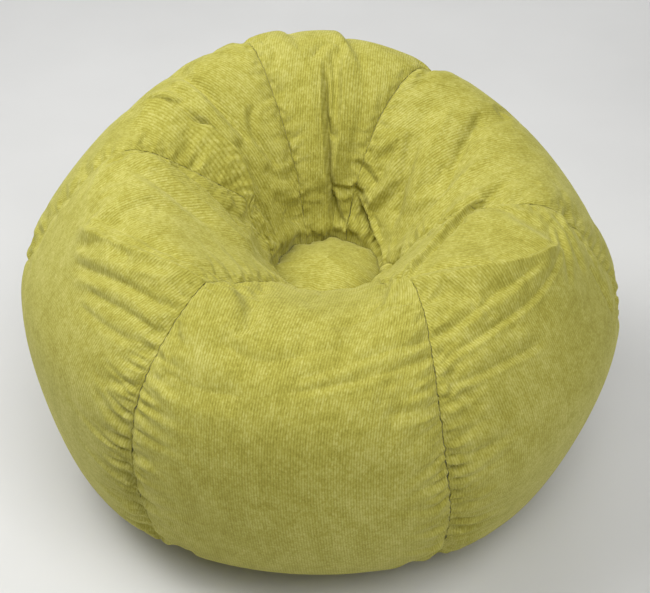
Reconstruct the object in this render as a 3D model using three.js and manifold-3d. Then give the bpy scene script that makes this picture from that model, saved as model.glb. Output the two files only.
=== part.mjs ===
// A round bean bag chair: a corduroy cover of six gores, a seat cap and a two-part base with a zip,
// over a zipped liner bag that holds the bead fill. Millimetres, +Z up, the front towards -Y.
// The origin is on the floor, under the middle of the bag.
import * as THREE from 'three';
import { mergeVertices } from 'three/addons/utils/BufferGeometryUtils.js';
import Module from 'manifold-3d';

const wasm = await Module();
wasm.setup();

// ------------------------------------------------------------------ driving dimensions
// Azimuths of the six gore seams, from the front towards +X. The gores are cut alike, and the slumped
// fill spreads them unevenly.
const SEAMS = [22, 84, 145, 202, 267, 323].map(THREE.MathUtils.degToRad);
const TURN = 2 * Math.PI;

const CAP_RADIUS = 82;        // the seat cap's seam
const CAP_LEVEL = 350;        // its height above the floor
const CAP_DOME = 14;          // how far the cap's middle stands above its seam
const SEAT_OFFSET = 10;       // the hollow sits this far to +X of the bag's middle
const BASE_RADIUS = 262;      // the base's seam
const CREST = 3 / 8;          // the top of the roll, as a share of the meridian from cap to base

const CLOTH = 3;              // the corduroy with its nap
const LINER_CLOTH = 2;        // the liner's cloth, as modelled
const LINER_INSET = 14;       // from the cover's face to the liner's face
const FILL_INSET = 20;        // from the cover's face to the bead fill
const SEAM_SINK = 6;          // how deep the gore seams pull in
const SEAM_REACH = 26;        // how far from a seam the cloth is pulled in
const THREAD_RADIUS = 0.5;
const GORE_GAP = 3;           // between neighbouring gores, where the seam thread runs
const CAP_GAP = 3;            // between the gores and the seat cap
const BASE_GAP = 9;           // between the gores and the base
const CLOSING_GAP = 2;        // between the halves of a base, past the ends of its zip
const LINER_CAP_RADIUS = 84;
const LINER_CAP_LEVEL = 336;
const LINER_BASE_RADIUS = 248;

const ROWS = 20;              // along a gore
const COLUMNS = 10;           // across a gore
const INNER_SIDES = 24;       // round the liner and the fill

// Meridians from the cap's seam over the roll and down to the base's seam, as [radius, height].
const meridian = (points) => new THREE.CatmullRomCurve3(
  [[CAP_RADIUS, CAP_LEVEL], ...points, [BASE_RADIUS, 0]].map(([r, z]) => new THREE.Vector3(r, 0, z)),
  false, 'catmullrom', 0.5);
const FRONT = meridian([[125, 410], [210, 460], [310, 485], [410, 415], [432, 268], [392, 118], [302, 36]]);
const RIGHT = meridian([[118, 412], [190, 490], [318, 510], [402, 427], [450, 300], [384, 74], [318, 20]]);
const REAR = meridian([[100, 455], [165, 560], [262, 614], [366, 505], [444, 315], [386, 110], [312, 24]]);
const LEFT = meridian([[118, 440], [190, 515], [292, 555], [411, 434], [446, 318], [400, 82], [315, 24]]);

// Zips run along X through the base's middle. Heights are from the underside of the cloth they close.
const COVER_ZIP = { name: 'cover_zip', length: 420, level: 0, cloth: CLOTH };
const LINER_ZIP = { name: 'liner_zip', length: 300, level: LINER_INSET, cloth: LINER_CLOTH };
const SLIT = 5.2;             // half the width of the slit that a zip closes
const CHAIN = { inner: 0.15, outer: 2.9, height: 2.8 };
const TAPE = { inner: 3.2, outer: 16, height: 0.6 };
const SLIDER = { length: 12, half: 4.5, plate: 0.9, lip: 0.9, wedge: 4, wedgeHalf: 1.2 };
const STOP_LENGTH = 3;
const CLEARANCE = 0.3;        // between pieces that touch or slide

// ------------------------------------------------------------------ finishes
const finish = (color, roughness, metalness = 0) =>
  () => new THREE.MeshStandardMaterial({ color, roughness, metalness });
const corduroy = finish(0xb4af53, 0.95);
const sewingThread = finish(0x96913a, 0.8);
const linerCloth = finish(0xe9e7df, 0.9);
const linerThread = finish(0xf2f1ec, 0.8);
const coverTape = finish(0x96913a, 0.9);
const linerTape = finish(0xdedcd4, 0.9);
const nylon = finish(0xc9c6a0, 0.4);
const zipMetal = finish(0xb8b8b4, 0.35, 1);
const beads = finish(0xf6f6f2, 0.7);

const bag = new THREE.Group();
function add(name, geometry, material) {
  const mesh = new THREE.Mesh(geometry, material());
  mesh.name = name;
  bag.add(mesh);
  return mesh;
}

// ------------------------------------------------------------------ the bag's surface
const smooth = (x) => THREE.MathUtils.smoothstep(x, 0, 1);

// A point of the bag's smooth face at an azimuth and a place along the meridian: -1 is the middle of
// the seat cap, 0 the cap's seam, CREST the top of the roll, 1 the base's seam, 2 the base's middle.
function facePoint(azimuth, place) {
  const sine = Math.sin(azimuth);
  const cosine = Math.cos(azimuth);
  let radius, height;
  if (place < 0) {
    radius = CAP_RADIUS * (1 + place);
    height = CAP_LEVEL + CAP_DOME * (1 - (1 + place) ** 2);
  } else if (place > 1) {
    radius = BASE_RADIUS * (2 - place);
    height = 0;
  } else {
    const lengthways = (cosine > 0 ? FRONT : REAR).getPoint(place);
    const sideways = (sine > 0 ? RIGHT : LEFT).getPoint(place);
    radius = cosine ** 2 * lengthways.x + sine ** 2 * sideways.x;
    height = cosine ** 2 * lengthways.z + sine ** 2 * sideways.z;
  }
  const offset = SEAT_OFFSET * smooth(1 - place / CREST);
  return new THREE.Vector3(radius * sine + offset, -radius * cosine, height);
}

function faceNormal(azimuth, place) {
  if (place < -0.95) return new THREE.Vector3(0, 0, 1);
  if (place > 1.95) return new THREE.Vector3(0, 0, -1);
  const step = 0.01;
  const here = facePoint(azimuth, place);
  const round = facePoint(azimuth + step, place).sub(facePoint(azimuth - step, place));
  const behind = here.clone().sub(facePoint(azimuth, place - step)).normalize();
  const ahead = facePoint(azimuth, place + step).sub(here).normalize();
  return behind.add(ahead).cross(round).normalize();
}

// A point that lies inset millimetres inside the face.
const insidePoint = (azimuth, place, inset) =>
  facePoint(azimuth, place).addScaledVector(faceNormal(azimuth, place), -inset);

// How far the cloth is pulled in, by its distance from the nearest gore seam.
function seamSink(azimuth, place) {
  const angles = SEAMS.map((seam) => Math.abs(seam - azimuth + TURN * Math.round((azimuth - seam) / TURN)));
  const distance = Math.min(...angles) * facePoint(azimuth, place).setZ(0).length();
  const ends = smooth(place / 0.08) * smooth((1 - place) / 0.08);
  return SEAM_SINK * ends * Math.exp(-((distance / SEAM_REACH) ** 2));
}

// ------------------------------------------------------------------ the cover
// A sheet of cloth as a thin box whose flat faces are bent by place(u, v, depth), each from 0 to 1.
function bentSheet(columns, rows, place) {
  const geometry = new THREE.BoxGeometry(1, 1, 1, columns, rows, 1);
  const corner = new THREE.Vector3();
  const positions = geometry.attributes.position;
  for (let i = 0; i < positions.count; i++) {
    corner.fromBufferAttribute(positions, i).addScalar(0.5);
    const point = place(corner.x, corner.y, corner.z);
    positions.setXYZ(i, point.x, point.y, point.z);
  }
  geometry.computeVertexNormals();
  return geometry;
}

// The columns crowd towards the seams, where the cloth bends most.
const crowded = (u) => THREE.MathUtils.lerp(u, 0.5 - 0.5 * Math.cos(Math.PI * u), 0.7);

// The length of the face from the cap's seam to the base's seam.
function meridianLength(azimuth) {
  const points = Array.from({ length: 65 }, (_, i) => facePoint(azimuth, i / 64));
  return points.slice(1).reduce((sum, point, i) => sum + point.distanceTo(points[i]), 0);
}

function gore(firstSeam, lastSeam) {
  const length = meridianLength(firstSeam);
  const capEnd = CAP_GAP / 2 / length;
  const baseEnd = 1 - BASE_GAP / 2 / length;
  return bentSheet(COLUMNS, ROWS, (u, v, depth) => {
    const place = THREE.MathUtils.lerp(baseEnd, capEnd, v);
    const radius = facePoint((firstSeam + lastSeam) / 2, place).setZ(0).length();
    const edge = GORE_GAP / 2 / radius;
    const azimuth = THREE.MathUtils.lerp(firstSeam + edge, lastSeam - edge, crowded(u));
    return insidePoint(azimuth, place, seamSink(azimuth, place) + CLOTH * (1 - depth));
  });
}

const GORE_NAMES = ['right_front', 'right_rear', 'rear', 'left_rear', 'left_front', 'front'];
GORE_NAMES.forEach((name, i) => {
  const lastSeam = i < SEAMS.length - 1 ? SEAMS[i + 1] : SEAMS[0] + TURN;
  add(`cover_gore_${name}`, gore(SEAMS[i], lastSeam), corduroy);
});

// A round domed disc of cloth, with its rim at height 0.
function domedDisc(radius, thickness, sides) {
  const shares = [0, 0.25, 0.5, 0.8, 1];
  const height = (share) => CAP_DOME * (1 - share ** 2);
  const under = shares.map((share) => new THREE.Vector2(radius * share, height(share) - thickness));
  const upper = shares.map((share) => new THREE.Vector2(radius * share, height(share)));
  return new THREE.LatheGeometry([...under, ...upper.reverse()], sides).rotateX(Math.PI / 2);
}

add('cover_seat_cap', domedDisc(CAP_RADIUS - CAP_GAP / 2, CLOTH, 36), corduroy)
  .position.set(SEAT_OFFSET, 0, CAP_LEVEL);

// Half of a round base, on the -Y side. Its straight edge steps back along the zip's slit.
function baseHalf(radius, thickness, zip) {
  const sides = 30;
  const closing = CLOSING_GAP / 2;
  const slitEnd = zip.length / 2 + STOP_LENGTH;
  const start = Math.asin(closing / radius);
  const points = Array.from({ length: sides + 1 }, (_, i) => {
    const angle = THREE.MathUtils.lerp(-start, start - Math.PI, i / sides);
    return new THREE.Vector2(radius * Math.cos(angle), radius * Math.sin(angle));
  });
  for (const [x, y] of [[-slitEnd, closing], [-slitEnd, SLIT], [slitEnd, SLIT], [slitEnd, closing]]) {
    points.push(new THREE.Vector2(x, -y));
  }
  return new THREE.ExtrudeGeometry(new THREE.Shape(points), { depth: thickness, bevelEnabled: false });
}

for (const [side, turn] of [['front', 0], ['rear', Math.PI]]) {
  const half = baseHalf(BASE_RADIUS - BASE_GAP / 2, CLOTH, COVER_ZIP);
  add(`cover_base_${side}`, half.rotateZ(turn), corduroy);
}

// ------------------------------------------------------------------ sewing threads
function seamThread(azimuth) {
  const end = 3 / meridianLength(azimuth);
  const points = Array.from({ length: ROWS + 1 }, (_, i) => {
    const place = THREE.MathUtils.lerp(end, 1 - end, i / ROWS);
    return insidePoint(azimuth, place, seamSink(azimuth, place) + CLOTH / 2);
  });
  const section = new THREE.Shape(Array.from({ length: 5 }, (_, i) => {
    const angle = TURN * i / 5;
    return new THREE.Vector2(THREAD_RADIUS * Math.cos(angle), THREAD_RADIUS * Math.sin(angle));
  }));
  const extrudePath = new THREE.CatmullRomCurve3(points);
  return new THREE.ExtrudeGeometry(section, { steps: ROWS, extrudePath });
}

SEAMS.forEach((seam, i) => add(`seam_thread_${i + 1}`, seamThread(seam), sewingThread));

function ringThread(name, radius, height, offset, sides, material) {
  const ring = new THREE.TorusGeometry(radius, THREAD_RADIUS, 5, sides);
  add(name, ring, material).position.set(offset, 0, height);
}

ringThread('cap_seam_thread', CAP_RADIUS, CAP_LEVEL - CLOTH / 2, SEAT_OFFSET, 36, sewingThread);
ringThread('base_seam_thread', BASE_RADIUS, CLOTH / 2, 0, 48, sewingThread);

// The stitches that join the halves of a base past the ends of its zip.
function closingThreads(zip, baseRadius, material) {
  const start = zip.length / 2 + STOP_LENGTH + 3;
  const length = baseRadius - 6 - start;
  for (const [side, sign] of [['right', 1], ['left', -1]]) {
    const thread = new THREE.CylinderGeometry(THREAD_RADIUS, THREAD_RADIUS, length, 6).rotateZ(Math.PI / 2);
    const height = zip.level + zip.cloth / 2;
    add(`${zip.name}_closing_thread_${side}`, thread, material)
      .position.set(sign * (start + length / 2), 0, height);
  }
}

closingThreads(COVER_ZIP, BASE_RADIUS, sewingThread);

// ------------------------------------------------------------------ zips
const block = (low, high) => new THREE.BoxGeometry(...high.map((value, i) => value - low[i]))
  .translate(...high.map((value, i) => (value + low[i]) / 2));

function toSolid(geometry) {
  const bare = geometry.clone();
  bare.deleteAttribute('normal');
  bare.deleteAttribute('uv');
  const merged = mergeVertices(bare);
  return new wasm.Manifold(new wasm.Mesh({
    numProp: 3,
    vertProperties: new Float32Array(merged.attributes.position.array),
    triVerts: new Uint32Array(merged.index.array),
  }));
}

function toGeometry(solid) {
  const mesh = solid.getMesh();
  const geometry = new THREE.BufferGeometry();
  geometry.setAttribute('position', new THREE.BufferAttribute(mesh.vertProperties, 3));
  geometry.setIndex(new THREE.BufferAttribute(mesh.triVerts, 1));
  geometry.computeVertexNormals();
  return geometry;
}

// Two plates with lips that hold the chain, slots for the tapes, and a wedge at the leading end.
// The slider has no pull tab, so that a child can't open it.
function sliderBody(end, chain, tape) {
  const start = end - SLIDER.length;
  const low = chain.low - CLEARANCE;
  const high = chain.high + CLEARANCE;
  const inner = SLIDER.half - SLIDER.lip;
  const body = toSolid(
    block([start, -SLIDER.half, low - SLIDER.plate], [end, SLIDER.half, high + SLIDER.plate]));
  const cuts = [
    block([start - 1, -inner, low], [end - SLIDER.wedge, inner, high]),
    block([start - 1, SLIDER.wedgeHalf, low], [end + 1, inner, high]),
    block([start - 1, -inner, low], [end + 1, -SLIDER.wedgeHalf, high]),
    block([start - 1, inner - 1, tape.low - CLEARANCE], [end + 1, SLIDER.half + 1, tape.high + CLEARANCE]),
    block([start - 1, -SLIDER.half - 1, tape.low - CLEARANCE], [end + 1, 1 - inner, tape.high + CLEARANCE]),
  ];
  return toGeometry(cuts.reduce((solid, cut) => solid.subtract(toSolid(cut)), body));
}

function addZip(zip, tapeMaterial) {
  const end = zip.length / 2;
  const tape = { low: zip.level + zip.cloth + CLEARANCE };
  tape.high = tape.low + TAPE.height;
  const middle = (tape.low + tape.high) / 2;
  const chain = { low: middle - CHAIN.height / 2, high: middle + CHAIN.height / 2 };
  const sliderEnd = end - STOP_LENGTH - CLEARANCE;
  const chainEnd = sliderEnd - SLIDER.wedge - CLEARANCE;
  const chainStart = -end + STOP_LENGTH + CLEARANCE;
  for (const [side, sign] of [['front', -1], ['rear', 1]]) {
    // a strip of the zip on this side of its middle line
    const strip = (x0, x1, inner, outer, low, high) => block(
      [x0, Math.min(sign * inner, sign * outer), low], [x1, Math.max(sign * inner, sign * outer), high]);
    add(`${zip.name}_tape_${side}`,
      strip(-end, end, TAPE.inner, TAPE.outer, tape.low, tape.high), tapeMaterial);
    add(`${zip.name}_chain_${side}`,
      strip(chainStart, chainEnd, CHAIN.inner, CHAIN.outer, chain.low, chain.high), nylon);
    add(`${zip.name}_top_stop_${side}`,
      strip(end - STOP_LENGTH, end, CHAIN.inner, CHAIN.outer, chain.low, chain.high), zipMetal);
  }
  add(`${zip.name}_bottom_stop`,
    block([-end, -CHAIN.outer, chain.low], [-end + STOP_LENGTH, CHAIN.outer, chain.high]), zipMetal);
  add(`${zip.name}_slider`, sliderBody(sliderEnd, chain, tape), zipMetal);
}

addZip(COVER_ZIP, coverTape);

// ------------------------------------------------------------------ the liner bag and its fill
// A lathe shape whose points are bent onto the bag: a profile point's height is its place on the
// meridian, and its distance from 1 is its depth inside the bag, in shares of the given inset.
function bentLathe(profile, insetAt) {
  const corners = profile.map(([r, place]) => new THREE.Vector2(r, place));
  const geometry = new THREE.LatheGeometry(corners, INNER_SIDES);
  const corner = new THREE.Vector3();
  const positions = geometry.attributes.position;
  for (let i = 0; i < positions.count; i++) {
    corner.fromBufferAttribute(positions, i);
    const azimuth = Math.atan2(corner.x, corner.z);
    const point = insidePoint(azimuth, corner.y, insetAt(Math.hypot(corner.x, corner.z)));
    positions.setXYZ(i, point.x, point.y, point.z);
  }
  geometry.computeVertexNormals();
  return geometry;
}

const places = Array.from({ length: ROWS + 1 }, (_, i) => i / ROWS);
const innerWall = places.map((place) => [1, place]);
const outerWall = places.map((place) => [2, place]);
const linerWall = [...innerWall, ...outerWall.toReversed(), innerWall[0]];
add('liner_side', bentLathe(linerWall, (r) => LINER_INSET + LINER_CLOTH * (2 - r)), linerCloth);
add('liner_top', domedDisc(LINER_CAP_RADIUS, LINER_CLOTH, INNER_SIDES), linerCloth)
  .position.set(SEAT_OFFSET, 0, LINER_CAP_LEVEL);
for (const [side, turn] of [['front', 0], ['rear', Math.PI]]) {
  const half = baseHalf(LINER_BASE_RADIUS, LINER_CLOTH, LINER_ZIP);
  add(`liner_base_${side}`, half.rotateZ(turn).translate(0, 0, LINER_INSET), linerCloth);
}
closingThreads(LINER_ZIP, LINER_BASE_RADIUS, linerThread);
addZip(LINER_ZIP, linerTape);

const fillProfile = [
  [0, 2], [1, 1.7], [1, 1.35], ...innerWall.toReversed(), [1, -0.35], [1, -0.7], [0, -1]];
add('bead_fill', bentLathe(fillProfile, () => FILL_INSET), beads);

export default bag;
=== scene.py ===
"""A round corduroy bean bag chair: its looks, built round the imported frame.

The cover is made as one surface over azimuth and place on the meridian, folded, relaxed by a cloth
simulation, puckered along its seams, and then cut into the panels that it is sewn from.
Lengths are in metres and angles in degrees, unless a comment says otherwise.
"""
import math

import bpy
import numpy as np
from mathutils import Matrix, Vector


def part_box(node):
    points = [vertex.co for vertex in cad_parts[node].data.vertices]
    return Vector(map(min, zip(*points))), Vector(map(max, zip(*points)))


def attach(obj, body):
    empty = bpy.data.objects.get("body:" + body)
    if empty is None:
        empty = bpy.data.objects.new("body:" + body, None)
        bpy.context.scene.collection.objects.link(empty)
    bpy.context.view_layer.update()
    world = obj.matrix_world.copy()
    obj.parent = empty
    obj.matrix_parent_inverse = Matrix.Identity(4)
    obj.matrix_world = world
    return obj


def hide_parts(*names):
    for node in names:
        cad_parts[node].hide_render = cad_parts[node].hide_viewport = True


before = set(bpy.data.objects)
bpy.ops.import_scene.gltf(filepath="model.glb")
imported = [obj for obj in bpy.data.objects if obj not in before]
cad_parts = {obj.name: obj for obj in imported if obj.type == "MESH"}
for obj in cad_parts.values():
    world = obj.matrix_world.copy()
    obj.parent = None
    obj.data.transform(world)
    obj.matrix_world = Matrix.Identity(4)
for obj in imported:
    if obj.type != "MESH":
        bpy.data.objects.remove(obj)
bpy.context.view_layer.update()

# ---- the bag's measures
CAP_LOW, CAP_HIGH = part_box("cap_seam_thread")
BASE_LOW, BASE_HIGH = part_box("base_seam_thread")
CAP_RADIUS = (CAP_HIGH.x - CAP_LOW.x) / 2
CAP_LEVEL = 0.350
CAP_DOME = 0.014
SEAT_OFFSET = (CAP_HIGH.x + CAP_LOW.x) / 2
BASE_RADIUS = (BASE_HIGH.x - BASE_LOW.x) / 2
CREST = 3 / 8                 # the top of the roll, as a share of the meridian from cap to base
CLOTH = 0.0022                # the corduroy, with its nap
LINER_CLOTH = 0.0012
LINER_INSET = 0.014           # how far the liner, and the beads, lie inside the cover's face
FILL_INSET = 0.020

# Meridians from the cap's seam over the roll to the base's seam, as (radius, height).
RIM, FOOT = (CAP_RADIUS, CAP_LEVEL), (BASE_RADIUS, 0)
FRONT = (RIM, (.125, .410), (.210, .460), (.310, .485), (.410, .415), (.432, .268), (.392, .118),
         (.302, .036), FOOT)
RIGHT = (RIM, (.118, .412), (.190, .490), (.318, .510), (.402, .427), (.450, .300), (.384, .074),
         (.318, .020), FOOT)
REAR = (RIM, (.100, .455), (.165, .560), (.262, .614), (.366, .505), (.444, .315), (.386, .110),
        (.312, .024), FOOT)
LEFT = (RIM, (.118, .440), (.190, .515), (.292, .555), (.411, .434), (.446, .318), (.400, .082),
        (.315, .024), FOOT)

# Azimuths of each seam, from the front towards +X, at five even places from the cap to the base.
SEAMS = (
    (32, 30.5, 22.5, 26.5, 26),
    (68, 77, 84, 84, 84),
    (159, 148, 143, 145, 145),
    (204, 204, 205, 203, 202),
    (258, 261, 272, 268, 267),
    (336, 330, 325, 323, 323),
)
GORES = ("right_front", "right_rear", "rear", "left_rear", "left_front", "front")


# ---- shape functions
def catmull_rom(values, share):
    """A smooth line through evenly spaced values, at these shares of its whole run."""
    values = np.asarray(values, float).reshape(len(values), -1)
    ends = 2 * values[0] - values[1], 2 * values[-1] - values[-2]
    padded = np.vstack([ends[0], values, ends[1]])
    run = np.clip(np.asarray(share, float) * (len(values) - 1), 0, len(values) - 1 - 1e-9)
    i = run.astype(int)
    u = (run - i)[..., None]
    a, b, c, d = (padded[i + k] for k in range(4))
    return 0.5 * (2 * b + (c - a) * u + (2 * a - 5 * b + 4 * c - d) * u**2 + (3 * b - 3 * c + d - a) * u**3)


def smoothstep(x):
    x = np.clip(x, 0, 1)
    return x * x * (3 - 2 * x)


def face_points(azimuth, place):
    """Points of the smooth bag at azimuths in radians and places from -1 to 2.

    Place -1 is the middle of the seat cap, 0 the cap's seam, 1 the base's seam, 2 the base's middle.
    """
    azimuth, place = np.broadcast_arrays(np.asarray(azimuth, float), np.asarray(place, float))
    sine, cosine = np.sin(azimuth), np.cos(azimuth)
    side = np.clip(place, 0, 1)
    front, right, rear, left = (catmull_rom(outline, side) for outline in (FRONT, RIGHT, REAR, LEFT))
    lengthways = np.where(cosine[..., None] > 0, front, rear)
    sideways = np.where(sine[..., None] > 0, right, left)
    outline = cosine[..., None]**2 * lengthways + sine[..., None]**2 * sideways
    radius, height = outline[..., 0], outline[..., 1]
    in_cap = np.clip(1 + place, 0, 1)
    in_base = np.clip(2 - place, 0, 1)
    radius = np.where(place < 0, CAP_RADIUS * in_cap, np.where(place > 1, BASE_RADIUS * in_base, radius))
    height = np.where(place < 0, CAP_LEVEL + CAP_DOME * (1 - in_cap**2), np.where(place > 1, 0, height))
    offset = SEAT_OFFSET * smoothstep(1 - place / CREST)
    return np.stack([radius * sine + offset, -radius * cosine, height], -1)


def grid_normals(points, closed):
    """Outward normals of a grid of points whose rows run round the bag and columns from cap to base."""
    if closed:
        round_bag = np.roll(points, -1, 0) - np.roll(points, 1, 0)
    else:
        round_bag = np.gradient(points, axis=0)
    down = np.gradient(points, axis=1)
    normal = np.cross(down, round_bag)
    return normal / np.maximum(np.linalg.norm(normal, axis=-1, keepdims=True), 1e-12)


def seam_azimuth(k, place):
    """Seam k's azimuth in radians; k may run past the last seam."""
    turns, k = divmod(k, len(SEAMS))
    return np.radians(catmull_rom(SEAMS[k], place)[..., 0] + 360 * turns)


# ---- folds
# Each fold is (height, lean, width before, width after, points as (azimuth, place)). A height below 0
# is a valley. The widths are to the left and to the right of the way its points run, seen from
# outside, and a lean above 0 drags the cloth to the right.
FOLDS = (
    # the rear gore's middle crease, the hollow and flap to its right, and where its foot doubles over
    (-.012, -.003, .006, .0025, ((179, .31), (179, .20), (177, .12), (175, 0))),
    (-.006, 0, .016, .012, ((176, .34), (174, .25), (175, .17))),
    (.009, .003, .014, .006, ((171, .35), (168, .23), (170, .17), (176, .11))),
    (-.007, 0, .007, .004, ((178, .215), (175, .19), (169, .185))),
    (-.006, 0, .008, .008, ((184, .30), (180, .33), (174, .34), (169, .31))),
    (.006, 0, .018, .018, ((-174, .31), (-175, .20), (-177, .09))),
    (-.011, 0, .004, .008, ((176, .10), (170, .06), (163, .03))),
    (-.007, 0, .004, .008, ((177, .105), (160, .105), (144, .115))),
    # the left rear gore: the long lip that hangs over the crater, and what lies in its shade
    (-.030, -.007, .011, .0035, ((-118, .43), (-116, .33), (-117, .25), (-112, .195), (-107, .09))),
    (.014, -.012, .006, .024, ((-114, .42), (-113, .27), (-110, .19), (-107, .11))),
    (.011, -.012, .005, .016, ((-116, .29), (-113, .215), (-108, .12))),
    (-.018, 0, .009, .003, ((-117, .28), (-113, .21), (-104, .12))),
    (-.007, 0, .008, .0035, ((-120, .35), (-121, .28), (-118, .215))),
    (-.007, 0, .009, .005, ((-131, .39), (-131, .30), (-133, .20))),
    (.007, 0, .010, .008, ((-127, .39), (-127, .27), (-126, .17))),
    (-.007, 0, .007, .005, ((-144, .265), (-138, .215), (-144, .15))),
    (-.005, 0, .012, .007, ((-133, .165), (-142, .135), (-155, .125))),
    (.003, 0, .012, .012, ((-132, .135), (-144, .10), (-157, .095))),
    (-.004, 0, .010, .007, ((-130, .11), (-142, .08), (-158, .07))),
    (-.006, 0, .010, .010, ((-136, .07), (-150, .04))),
    (-.007, 0, .008, .010, ((-128, .23), (-127, .17), (-123, .11))),
    (.009, 0, .008, .010, ((-112, .15), (-110, .08), (-104, .03))),
    (-.008, 0, .005, .008, ((-116, .14), (-117, .08), (-112, .03))),
    # the left front gore: a soft ridge down into the crater, the creases of its shoulder
    (.009, -.003, .006, .022, ((-91, .37), (-84, .27), (-72, .20), (-50, .13))),
    (-.009, 0, .013, .006, ((-93, .36), (-92, .25), (-84, .17), (-72, .12))),
    (-.005, 0, .012, .009, ((-86, .36), (-74, .29), (-61, .22))),
    (.005, 0, .003, .012, ((-72, .43), (-60, .405), (-45, .37), (-30, .345))),
    (-.004, 0, .012, .003, ((-74, .42), (-56, .375), (-42, .34), (-27, .265))),
    (-.0045, 0, .006, .007, ((-67, .44), (-60, .41), (-50, .39))),
    (.005, 0, .008, .010, ((-67, .445), (-56, .42), (-45, .395), (-38, .375))),
    (-.005, 0, .0045, .009, ((-65, .45), (-55, .43), (-45, .415), (-33, .405))),
    (.003, 0, .008, .007, ((-62, .46), (-48, .43), (-35, .425))),
    (-.004, 0, .004, .008, ((-58, .455), (-45, .44), (-33, .435))),
    (-.003, 0, .004, .008, ((-57, .47), (-48, .465), (-39, .46))),
    (-.005, 0, .012, .014, ((-33, .39), (-24, .385), (-15, .36))),
    # the front gore's soft waves below the lip
    (-.005, 0, .010, .016, ((-26, .405), (-13, .425), (0, .40), (8, .405))),
    (.004, 0, .020, .020, ((-26, .37), (-10, .385), (8, .36))),
    (-.005, 0, .014, .014, ((-32, .47), (-23, .475), (-14, .47))),
    (-.005, 0, .010, .014, ((27, .34), (13, .34), (-8, .38))),
    (-.004, 0, .006, .010, ((27, .41), (12, .415), (-8, .445))),
    (-.0035, 0, .005, .010, ((27, .43), (12, .44), (-8, .46))),
    # the right front gore: the crest of its lip, the edge of the flat face behind, the folds outside
    (.006, 0, .003, .014, ((20, .275), (30, .32), (45, .36), (60, .40), (72, .42))),
    (.014, .006, .024, .004, ((31, .265), (45, .24), (62, .245), (76, .27), (87, .31))),
    (-.009, 0, .007, .003, ((70, .215), (78, .265), (90, .335))),
    (-.004, 0, .0045, .009, ((62, .41), (45, .395), (34, .405), (24, .41))),
    (-.0055, 0, .0045, .009, ((77, .385), (68, .415), (52, .43), (40, .43), (24, .44))),
    (.003, 0, .009, .009, ((64, .42), (48, .41), (32, .415))),
    (-.005, 0, .005, .010, ((49, .485), (36, .475), (23, .475))),
    (-.005, 0, .006, .008, ((77, .39), (73, .42), (61, .46))),
    (-.005, 0, .006, .008, ((80, .395), (75, .435), (70, .48))),
    (-.005, 0, .007, .007, ((84, .42), (81, .46), (79, .50))),
    (-.006, 0, .007, .008, ((75, .48), (75, .52), (74, .57))),
    # the right rear gore
    (-.009, 0, .016, .012, ((122, .36), (111, .285), (98, .225), (85, .13))),
    (.007, 0, .014, .014, ((128, .33), (118, .24), (103, .15))),
    (.006, 0, .012, .012, ((104, .32), (92, .24), (78, .15))),
    (-.006, 0, .010, .012, ((134, .26), (122, .18), (108, .09))),
    (-.014, 0, .005, .012, ((154, .105), (141, .06), (112, .02))),
    (-.010, 0, .004, .009, ((149, .085), (127, .04), (90, .025))),
    (-.008, 0, .006, .006, ((157, .16), (147, .15), (137, .14))),
    (-.007, 0, .006, .006, ((157, .12), (149, .105), (141, .09))),
    (.005, 0, .009, .009, ((141, .25), (130, .165), (142, .085))),
    (-.005, 0, .008, .010, ((129, .265), (118, .175), (112, .12))),
    (-.010, 0, .006, .010, ((75, .10), (82, .05), (92, .03))),
)
# Where the cloth turns sharply over an edge of the filling.
LIPS = (
    (.020, 0, .038, .038, ((18, .27), (30, .32), (45, .36), (60, .40), (72, .42))),
    (.013, 0, .032, .034, ((-74, .435), (-60, .405), (-45, .37), (-30, .345), (-22, .31))),
    (.007, 0, .025, .028, ((-92, .35), (-78, .27), (-64, .20), (-44, .14))),
)
# Wide swells and hollows of the filling, in its roll and round its outside.
SWELLS = (
    (.005, 0, .060, .060, ((-132, .37), (-153, .39), (-172, .40))),
    (-.009, 0, .060, .060, ((176, .40), (160, .415), (138, .41))),
    (-.008, 0, .022, .026, ((100, .50), (104, .60), (106, .72))),
    (-.008, 0, .022, .022, ((178, .48), (175, .60), (176, .74))),
    (-.008, 0, .022, .022, ((-124, .50), (-128, .62), (-127, .75))),
    (-.006, 0, .022, .022, ((122, .46), (125, .54), (131, .60))),
    (-.006, 0, .022, .022, ((-140, .46), (-146, .55), (-152, .62))),
)


FOLD_MARKS = 28               # points along each fold
FOLD_REACH = 3.6              # how far to either side a fold is felt, in widths
FOLD_TAPER = 0.16             # the share of its run over which each end fades


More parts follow.
